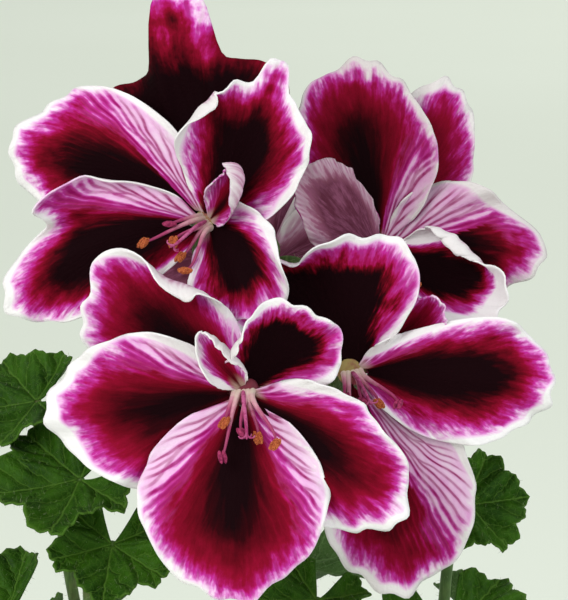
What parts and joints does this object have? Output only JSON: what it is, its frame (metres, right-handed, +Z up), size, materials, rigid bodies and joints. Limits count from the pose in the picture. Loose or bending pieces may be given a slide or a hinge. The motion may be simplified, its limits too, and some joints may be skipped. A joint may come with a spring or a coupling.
{
  "type": "regal pelargonium",
  "caption": "Potted regal pelargonium with a dense head of ruffled dark crimson blooms edged in white over lobed green leaves.",
  "frame": {"origin": "centre of the pot's base, on the surface it stands on", "axes": "+Z up along the pot's axis, -Y towards the side that the flower head looks to, +X to its right as seen from -Y"},
  "size_m": [0.1672, 0.1654, 0.2911],
  "materials": {
    "pot": "matt terracotta brown",
    "soil": "dark crumbly potting soil",
    "stem": "woody at the foot, green above",
    "green_stalk": "soft green, finely hairy",
    "petal": "velvety dark crimson with magenta veins and a white margin",
    "stamen": "satin, pink filaments and orange-red anthers",
    "leaf": "soft mid green, finely hairy"
  },
  "bodies": {
    "root": {"pot": "pot", "soil": "soil", "stem": "stem", "flower_stalk": "green_stalk", "bloom_a_petals": "petal", "bloom_a_stamens": "stamen", "bloom_b_petals": "petal", "bloom_b_stamens": "stamen", "bloom_c_petals": "petal", "bloom_c_stamens": "stamen", "bloom_d_petals": "petal", "bloom_d_stamens": "stamen", "bloom_e_petals": "petal", "bloom_e_stamens": "stamen", "leaf_01": "leaf", "leaf_02": "leaf", "leaf_03": "leaf", "leaf_04": "leaf", "leaf_05": "leaf", "leaf_06": "leaf", "leaf_07": "leaf", "leaf_08": "leaf", "leaf_09": "leaf", "leaf_10": "leaf", "leaf_11": "leaf", "leaf_12": "leaf", "leaf_13": "leaf", "leaf_14": "leaf", "leaf_15": "leaf"}
  },
  "joints": []
}
